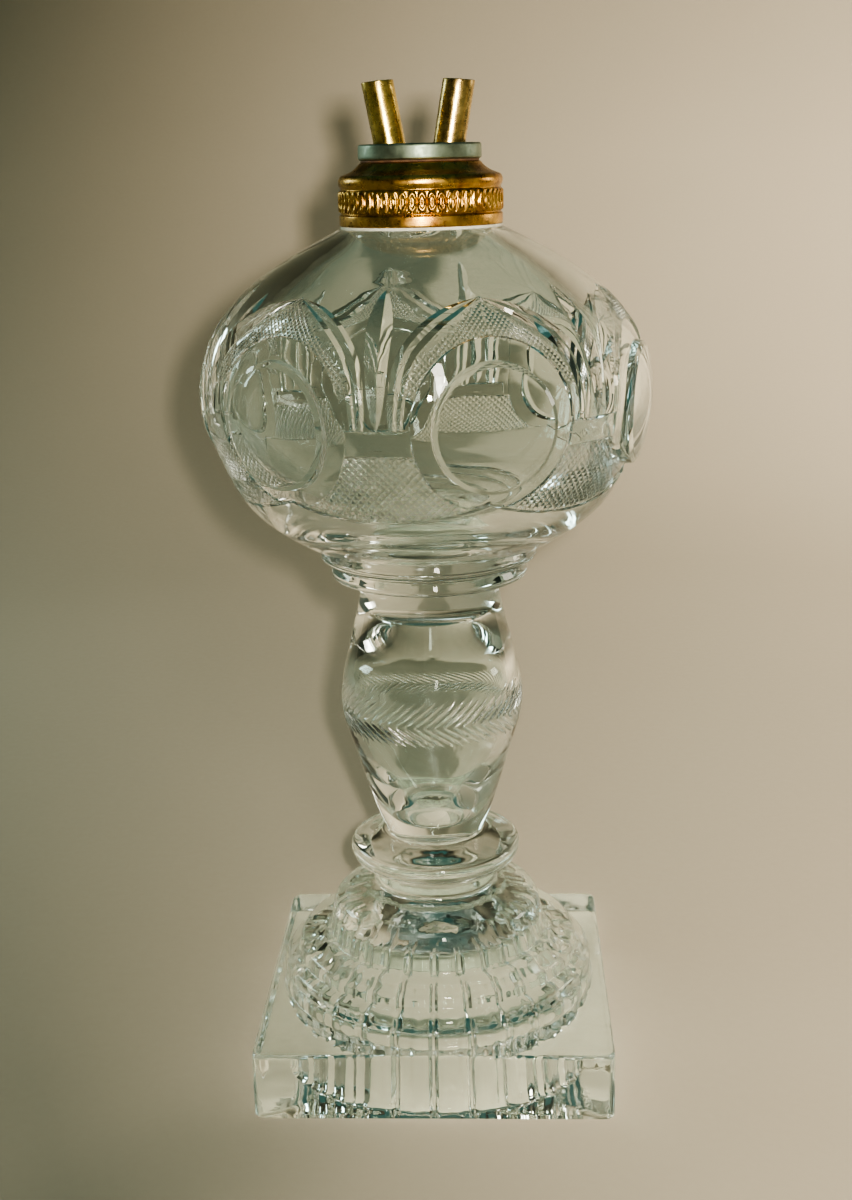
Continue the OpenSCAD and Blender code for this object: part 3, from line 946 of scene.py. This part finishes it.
def font():
    """The blown and cut oil font: plain foot, cut side, plain shoulder and neck, smooth inside."""
    turns = ROUNDELS + (ROUNDELS[0] + 360,)
    sectors = [Sector(a, b) for a, b in zip(turns, turns[1:])]
    angles = np.concatenate([s.seam() for s in sectors])
    shell = Shell()
    foot = SIDE[(SIDE[:, 1] < CUT_LOW - 0.4)][::3]
    join = [(0, FONT_Z), (FONT_JOIN_R, FONT_Z)]
    shell.turn([(join, JOIN), (join[1:], GLASS), (foot, GLASS),
                ([(side_radius(CUT_LOW), CUT_LOW)], GLASS)], angles)
    for sector in sectors:
        shell.add(*sector.build())
    neck_r = 18.4
    mouth_r = 15.2
    shoulder = SIDE[(SIDE[:, 1] > CUT_HIGH + 0.4)][::3]
    neck = eased([(22.3, SHOULDER_Z), (neck_r, SHOULDER_Z + 0.1), (neck_r, MOUTH_Z),
                  (mouth_r, MOUTH_Z), (mouth_r, SHOULDER_Z)], 0.8)
    bowl = curve([(mouth_r, SHOULDER_Z - FONT_Z), (20, 81.6), (31, 75), (42, 67.5), (50, 59),
                  (54.2, 48), (53.8, 36), (47.4, 23), (36, 12), (20, 7.6), (0, 7)], 7)
    bowl = bowl + [0, FONT_Z]
    wobble = ripple(0.25, 41)

    def dent(r, z, a):
        return wobble(r, z, a) * (z < SHOULDER_Z - 1) * np.clip((SHOULDER_Z - z) / 9, 0, 1)

    shell.turn([([(side_radius(CUT_HIGH), CUT_HIGH)], GLASS), (shoulder, GLASS), (neck, GLASS)],
               angles)
    shell.turn([(bowl, GLASS)], angles, dent)
    return shell.piece("cut_font", "font", "clear_glass", BLOWN_GLASS, 12)


# ---- Collar ---------------------------------------------------------------

BEADS = 54
BEAD_STEPS = 16
BEAD_ROWS = 27
SKIRT_WALL = 1.15


def collar_skirt():
    """Spun brass skirt with a chain of sunk ovals around its band."""
    inner = COLLAR_R - SKIRT_WALL
    lip = DISC_R - 0.15
    top = WASHER_Z - COLLAR_Z
    r = COLLAR_R
    low = eased([(inner, 0), (r - 0.25, 0), (r, 0.25), (r, 2.75), (r - 0.3, 3.0),
                 (r - 0.55, 3.3), (r - 0.2, 3.7)], 0.35, 3)
    band = np.stack([np.full(BEAD_ROWS, r - 0.12), np.linspace(3.9, 8.9, BEAD_ROWS)], -1)
    high = eased([(r - 0.2, 9.1), (r - 0.6, 9.5), (r - 0.45, 9.9), (r + 0.02, 10.7),
                  (r + 0.05, 11.9), (r - 0.5, 12.9), (r - 1.2, 13.2), (r - 2.2, 13.5),
                  (lip + 1.9, 14.2), (lip + 0.5, 15.4), (lip, top - 0.25), (lip - 0.4, top)], 0.8, 4)
    back = [(15.0, top), (15.0, top - 1.2), (inner, 12.4)]
    angles = around(BEADS * BEAD_STEPS, -math.pi / 2)
    across = (np.arange(BEADS * BEAD_STEPS) % BEAD_STEPS / BEAD_STEPS - 0.5) * TURN * r / BEADS

    def dent(radius, z, a):
        """Ovals with a boss in each, sunk in the band, and a fine cord under them."""
        up = z - COLLAR_Z - 6.4
        inband = np.abs(up) < 2.55
        ring = np.hypot(across / 0.86, up / 2.05) - 1
        chain = 0.42 * np.exp(-(ring * 0.86 / 0.30) ** 2)
        boss = 0.30 * np.exp(-(across / 0.30) ** 2 - (up / 1.0) ** 2)
        sunk = -0.12
        cord = 0.1 * np.sin(a * 160) * (np.abs(z - COLLAR_Z - 3.7) < 0.25)
        ovals = np.where(inband & (radius > r - 0.13), chain + boss + sunk, 0)
        return ovals + cord * (radius > inner + 0.5)

    shell = Shell()
    outline = np.vstack([low, band, high, back]) + [0, COLLAR_Z]
    shell.turn([(outline, 0)], angles, dent, closed=True)
    return shell.piece("collar_skirt_brass", "collar_skirt", "collar_brass", [COLLAR_BRASS], 50)


def collar_plaster():
    """The cement behind the skirt, which shows as a white line under it."""
    inner = COLLAR_R - SKIRT_WALL
    edge = COLLAR_Z - span("collar_plaster")[0][2]
    neck = MOUTH_Z - COLLAR_Z
    outline = eased([(18.4, -edge), (COLLAR_R - 0.2, -edge), (COLLAR_R - 0.05, 0), (inner, 0),
                     (inner, 12.4), (15.0, 12.4), (15.0, neck), (18.4, neck), (18.4, -edge)],
                    0.2, 2)[:-1] + [0, COLLAR_Z]
    wobble = ripple(0.12, 51)

    def dent(r, z, a):
        return (wobble(r, z, a) + 0.04 * np.sin(47 * a)) * (r > inner + 0.3)

    shell = Shell()
    shell.turn([(outline, 0)], around(240), dent, closed=True)
    return shell.piece("collar_plaster_fill", "collar_plaster", "plaster", [PLASTER])


# ---- Burner ---------------------------------------------------------------

TUBE_R = 4.24
TUBE_BORE_R = 3.7
TUBE_TILT = math.radians(10.1)
TUBE_X = 7.98
TUBE_TOP = 16.25
TUBE_TAIL = 16.4
TUBE_CUT = math.radians(5)
THREAD_R = 13.1
THREAD_DEPTH = 0.4
THREAD_PITCH = 2.1
SCREW_H = 9.0
WICK_R = 3.42
WICK_ROWS = 100
BRAID_STRANDS = 9
BRAID_TWIST = 3.1
WASHER_BORE_R = 13.9


def tube_axis(side):
    """Places things made along +Z on a tube's axis: side is -1 for the left tube, 1 for the right."""
    return (Matrix.Translation((side * TUBE_X, 0, DISC_TOP_Z))
            @ Matrix.Rotation(side * TUBE_TILT, 4, "Y"))


def wick_tube(side, name, material):
    """A seamed brass tube, its mouth cut at a slope that falls outwards."""
    angles = around(96)
    outline = eased([(TUBE_BORE_R, -TUBE_TAIL), (TUBE_R - 0.2, -TUBE_TAIL),
                     (TUBE_R - 0.2, -4.6), (TUBE_R - 0.03, -4.0), (TUBE_R - 0.03, 0.4),
                     (TUBE_R, 2.0), (TUBE_R, 6.0), (TUBE_R + 0.02, 10.0), (TUBE_R, 13.6),
                     (TUBE_R + 0.03, TUBE_TOP - 0.12), (TUBE_R - 0.14, TUBE_TOP),
                     (TUBE_BORE_R + 0.1, TUBE_TOP), (TUBE_BORE_R, TUBE_TOP - 0.15),
                     (TUBE_BORE_R, -TUBE_TAIL)], 0.3, 2)[:-1]
    slope = math.tan(TUBE_TILT - TUBE_CUT)
    shell = Shell()
    wobble = ripple(0.05, 61 + side)
    seam = 0.06 * np.exp(-((angles - math.pi / 2) / 0.05) ** 2)

    def dent(r, z, a):
        return wobble(r, z, a) - seam * (r > TUBE_BORE_R + 0.2)

    shell.turn([(outline, 0)], angles, dent, closed=True)
    rows = []
    for x, y, z in shell.points:
        lift = max(0.0, (z - 2) / (TUBE_TOP - 2))
        rows.append([x, y, z + side * slope * x * lift ** 3])
    shell.points = rows
    shell.shift(tube_axis(side))
    return shell.piece(name + "_brass", name, "tube_brass", [material], 40)


def wick(side, name):
    """A braided cotton wick with a slightly frayed end."""
    angles = around(72)
    length = TUBE_TAIL + TUBE_TOP - 2.6 - 0.5
    z = np.linspace(0, length, WICK_ROWS)
    r = np.full(WICK_ROWS, WICK_R)
    outline = np.vstack([[(0, 0), (2.6, 0), (3.3, 0.25)], np.stack([r, z + 0.4], -1)[:-4],
                         [(3.2, length - 0.5), (2.4, length - 0.1), (1.2, length),
                          (0, length)]]) + [0, 0.5 - TUBE_TAIL]

    def dent(r, z, a):
        left = np.sin(BRAID_STRANDS * a + z * BRAID_TWIST)
        right = np.sin(BRAID_STRANDS * a - z * BRAID_TWIST)
        frayed = np.clip((z - (TUBE_TOP - 3.9)) * 1.5, 0, 1)
        return (0.11 * np.maximum(left, right) - 0.11
                + frayed * 0.12 * np.sin(a * 31 + 1) * np.sin(z * 9)) * np.clip(r / 3, 0, 1)

    shell = Shell()
    shell.turn([(outline, 0)], angles, dent)
    shell.shift(tube_axis(side))
    return shell.piece(name + "_cotton", name, "wick_cotton", [COTTON], 60)


def burner_disc():
    """Cast pewter disc with a low rim, dished between rim and tubes, bored for both tubes."""
    h = DISC_TOP_Z - DISC_Z
    r = DISC_R
    outline = eased([(0, 0), (r - 0.5, 0), (r - 0.05, 0.3), (r, 1.0), (r - 0.05, h - 0.5),
                     (r - 0.35, h), (r - 0.95, h - 0.02), (r - 1.6, h - 0.28), (0, h - 0.36)],
                    0.35, 4) + [0, DISC_Z]
    shell = Shell()
    shell.turn([(outline, 0)], around(192), ripple(0.06, 71))
    disc = shell.piece("burner_disc_pewter", "burner_disc", "pewter", [PEWTER], 40)
    for side in (-1, 1):
        plug = Shell()
        plug.turn([([(0, -10), (TUBE_R - 0.01, -10), (TUBE_R - 0.01, 5), (0, 5)], 0)], around(96))
        plug.shift(tube_axis(side))
        cutter = show("bore", plug.mesh("bore", []))
        cut = disc.modifiers.new("bore", "BOOLEAN")
        cut.operation = "DIFFERENCE"
        cut.solver = "EXACT"
        cut.object = cutter
        bpy.context.view_layer.update()
        solid = bpy.data.meshes.new_from_object(
            disc.evaluated_get(bpy.context.evaluated_depsgraph_get()))
        disc.modifiers.remove(cut)
        disc.data = solid
        bpy.data.objects.remove(cutter)
    return disc


def burner_screw():
    """The burner's external thread, with its first turn run out."""
    rows = np.linspace(0, SCREW_H, 61)
    angles = around(120)
    start = 1.6
    low = DISC_Z - SCREW_H
    wave = np.cos(TURN * (rows[:, None] + start) / THREAD_PITCH - angles[None, :])
    fade = np.clip(np.minimum(rows / 0.9, (SCREW_H - rows) / 0.9), 0, 1)[:, None]
    r = THREAD_R + THREAD_DEPTH * (wave * 0.9 * fade - (1 - fade) * 0.6)
    bore = THREAD_R - 1.3

    rings = [space(reach, angles, low + z) for reach, z in zip(r, rows)]
    rings += [space(*point) for point in ((bore, angles, DISC_Z), (bore, angles, low + 0.2),
                                          (bore + 0.2, angles, low))]
    shell = Shell()
    shell.rings(np.array(rings), 0, closed=True)
    return shell.piece("burner_screw_brass", "burner_screw", "thread_brass", [THREAD_BRASS], 40)


def burner_washer():
    """The flat leather washer between the collar and the disc."""
    h = DISC_Z - WASHER_Z
    outline = eased([(WASHER_BORE_R, 0), (DISC_R - 0.75, 0), (DISC_R - 0.6, h * 0.5), (DISC_R - 0.75, h),
                     (WASHER_BORE_R, h), (WASHER_BORE_R, 0)], 0.12, 2)[:-1] + [0, WASHER_Z]
    wobble = ripple(0.08, 81)

    def dent(r, z, a):
        return wobble(r, z, a) * (r > 15)

    shell = Shell()
    shell.turn([(outline, 0)], around(144), dent, closed=True)
    return shell.piece("burner_washer_leather", "burner_washer", "washer_leather", [LEATHER])


# ---- Studio ---------------------------------------------------------------

PAPER = (0.44, 0.375, 0.295)
WARM = (1, 0.93, 0.80)
TEAL = (0.40, 0.90, 0.80)
COOL = (0.80, 1, 0.95)
ROOM = (0.04, 0.115, 0.10, 1)
# Air between the paper and the glass that stands on it
GAP = 0.25
CAMERA_AT = (19.4, -436.0, 259.4)
HEADING = (-0.0471, 0.9989, 0)
PITCH, ROLL = math.radians(15.61), math.radians(1.36)
LENS = 47.19
CARD_R, CARD_H = 850, 1100


def camera():
    """Set by the photograph's view: a little above the collar, turned and rolled slightly."""
    level = Vector(HEADING).normalized()
    ahead = level * math.cos(PITCH) - Vector((0, 0, 1)) * math.sin(PITCH)
    right = ahead.cross(Vector((0, 0, 1))).normalized()
    up = right.cross(ahead)
    right, up = (right * math.cos(ROLL) - up * math.sin(ROLL),
                 up * math.cos(ROLL) + right * math.sin(ROLL))
    data = bpy.data.cameras.new("camera")
    data.lens = LENS
    data.clip_start = 0.01
    obj = show("camera", data)
    turn = Matrix((right, up, -ahead)).transposed().to_4x4()
    obj.matrix_world = Matrix.Translation(Vector(CAMERA_AT) * MM) @ turn
    bpy.context.scene.camera = obj


def softbox(name, place, power, size, colour, aim=(0, 0, 0.15), mirrored=True):
    """A square area light, with place, size and aim in metres; mirrored if glass and metal
    show it."""
    data = bpy.data.lights.new(name, "AREA")
    data.energy = power
    data.size = size
    data.color = colour
    obj = show(name, data)
    obj.visible_glossy = mirrored
    obj.visible_transmission = mirrored
    place = Vector(place)
    beam = Vector(aim) - place
    turn = beam.to_track_quat("-Z", "Y").to_matrix().to_4x4()
    obj.matrix_world = Matrix.Translation(place) @ turn
    return data


def cove():
    """A round paper cove: a flat floor that sweeps up into a wall on every side."""
    flat, wall, top = 600, 1500, 1400
    bend = wall - flat
    turn = np.linspace(0, math.pi / 2, 13)
    sweep = np.stack([flat + bend * np.sin(turn), bend * (1 - np.cos(turn))], -1)
    shell = Shell()
    shell.turn([([(0, 0), (140, 0), (380, 0)], 0), (sweep, 0), ([(wall, top)], 0)], around(96))
    n = Nodes("paper")
    height = n.add("SeparateXYZ", "Z", Vector=n.where)
    # Painted shade: the paper is painted darker up the wall, down to 0.4 of its colour near the top, as
    # if less light reached it there
    painted_shade_up_wall = n.ramp(n.spread(height, 0.0, 1.0, 0.0, 1.3),
                    [(0.0, PAPER), (0.2, PAPER), (0.9, tuple(c * 0.4 for c in PAPER))])
    fibres = n.ramp(n.noise(1.4, 3), [(0.3, (0.93, 0.93, 0.93)), (0.7, (1, 1, 1))])
    colour = n.mix(painted_shade_up_wall, fibres)
    paper = n.set(Base_Color=colour, Roughness=n.spread(n.noise(300, 4), 0.8, 0.95),
                  Normal=n.bump(n.noise(400, 5), 0.05))
    shell.shift(Matrix.Translation((0, 0, -GAP)))
    obj = show("cove", shell.mesh("cove", [paper]))


def dark_card(name, first, last):
    """A curved dark card beside the lamp, seen only in the glass and metal, where it paints dark
    reflections in place of a dark room:
    first and last are degrees clockwise from +Y."""
    angles = np.radians(90 - np.linspace(last, first, 9))
    rings = [space(CARD_R, angles, h) for h in (-1, CARD_H)]
    shell = Shell()
    n = len(angles)
    shell.add(np.array(rings).reshape(-1, 3), [[j, j + 1, n + j + 1, n + j] for j in range(n - 1)],
              0)
    paint = Nodes(name)
    # Painted dark reflection: the card's near-black colour stands in for an unlit room, and the card
    # neither lights nor shades anything
    colour = paint.ramp(paint.noise(3, 2),
                        [(0.3, (0.010, 0.018, 0.016)), (0.7, (0.02, 0.03, 0.027))])
    card = show(name, shell.mesh(name, [paint.set(Base_Color=colour, Roughness=0.9)]))
    card.visible_camera = False
    card.visible_diffuse = False
    card.visible_shadow = False


def studio():
    """Cove, dark cards, dim teal room above, a small key beside the lens and soft fills."""
    cove()
    dark_card("card_right", 58, 92)
    dark_card("card_left", -76, -60)
    dark_card("card_front", -172, -146)
    world = bpy.data.worlds.new("studio")
    world.use_nodes = True
    bpy.context.scene.world = world
    world.node_tree.nodes["Background"].inputs["Color"].default_value = ROOM
    key = softbox("key", (0.14, -0.80, 0.50), 1.9, 0.07, WARM)
    key.shape = "RECTANGLE"
    key.size_y = 0.35
    softbox("pool", (0.50, 0.60, 0.65), 2.6, 0.3, WARM, (0.45, 0.6, 0), False)
    softbox("overhead", (0.1, -0.1, 1.3), 0.6, 0.8, COOL, (0, 0.3, 0), False)
    softbox("fill", (-0.85, -0.55, 0.9), 1.1, 0.6, TEAL, mirrored=False)
    softbox("rim_left", (-0.65, 0.30, 0.40), 0.8, 0.22, COOL)
    softbox("rim_right", (0.75, 0.25, 0.35), 0.8, 0.22, WARM)
    for name, aim in (("washer_left", (-1.5, 0.4, 0.25)), ("washer_front", (1.0, -1.1, 0.25))):
        washer = softbox(name, (0, 0, 1.3), 3.5, 0.5, COOL, aim, False)
        washer.spread = math.radians(90)
    flash = softbox("flash", (0.033, -0.436, 0.268), 10, 0.012, WARM, (0.36, 0, 0.15))
    flash.spread = math.radians(112)
    flash.use_nodes = True
    falloff = flash.node_tree.nodes.new("ShaderNodeLightFalloff")
    falloff.inputs["Strength"].default_value = 1.0
    flash.node_tree.links.new(falloff.outputs["Constant"],
                              flash.node_tree.nodes["Emission"].inputs["Strength"])
    bpy.context.scene.view_settings.look = "AgX - High Contrast"
    # Light crosses many surfaces in the pressed base, and its panes turn black if it stops there
    bounces = bpy.context.scene.cycles
    bounces.max_bounces = 24
    bounces.glossy_bounces = 16
    bounces.transmission_bounces = 20


# ---- The lamp -------------------------------------------------------------

camera()
studio()
base()
foot_ring()
stem()
wafers()
font()
collar_skirt()
collar_plaster()
burner_washer()
burner_disc()
burner_screw()
wick_tube(-1, "wick_tube_left", LEFT_BRASS)
wick_tube(1, "wick_tube_right", RIGHT_BRASS)
wick(-1, "wick_left")
wick(1, "wick_right")
for kept, finish in (("collar_thread", THREAD_BRASS), ("burner_solder", SOLDER)):
    data = frame["nodes"][kept].data
    data.materials.clear()
    data.materials.append(finish)
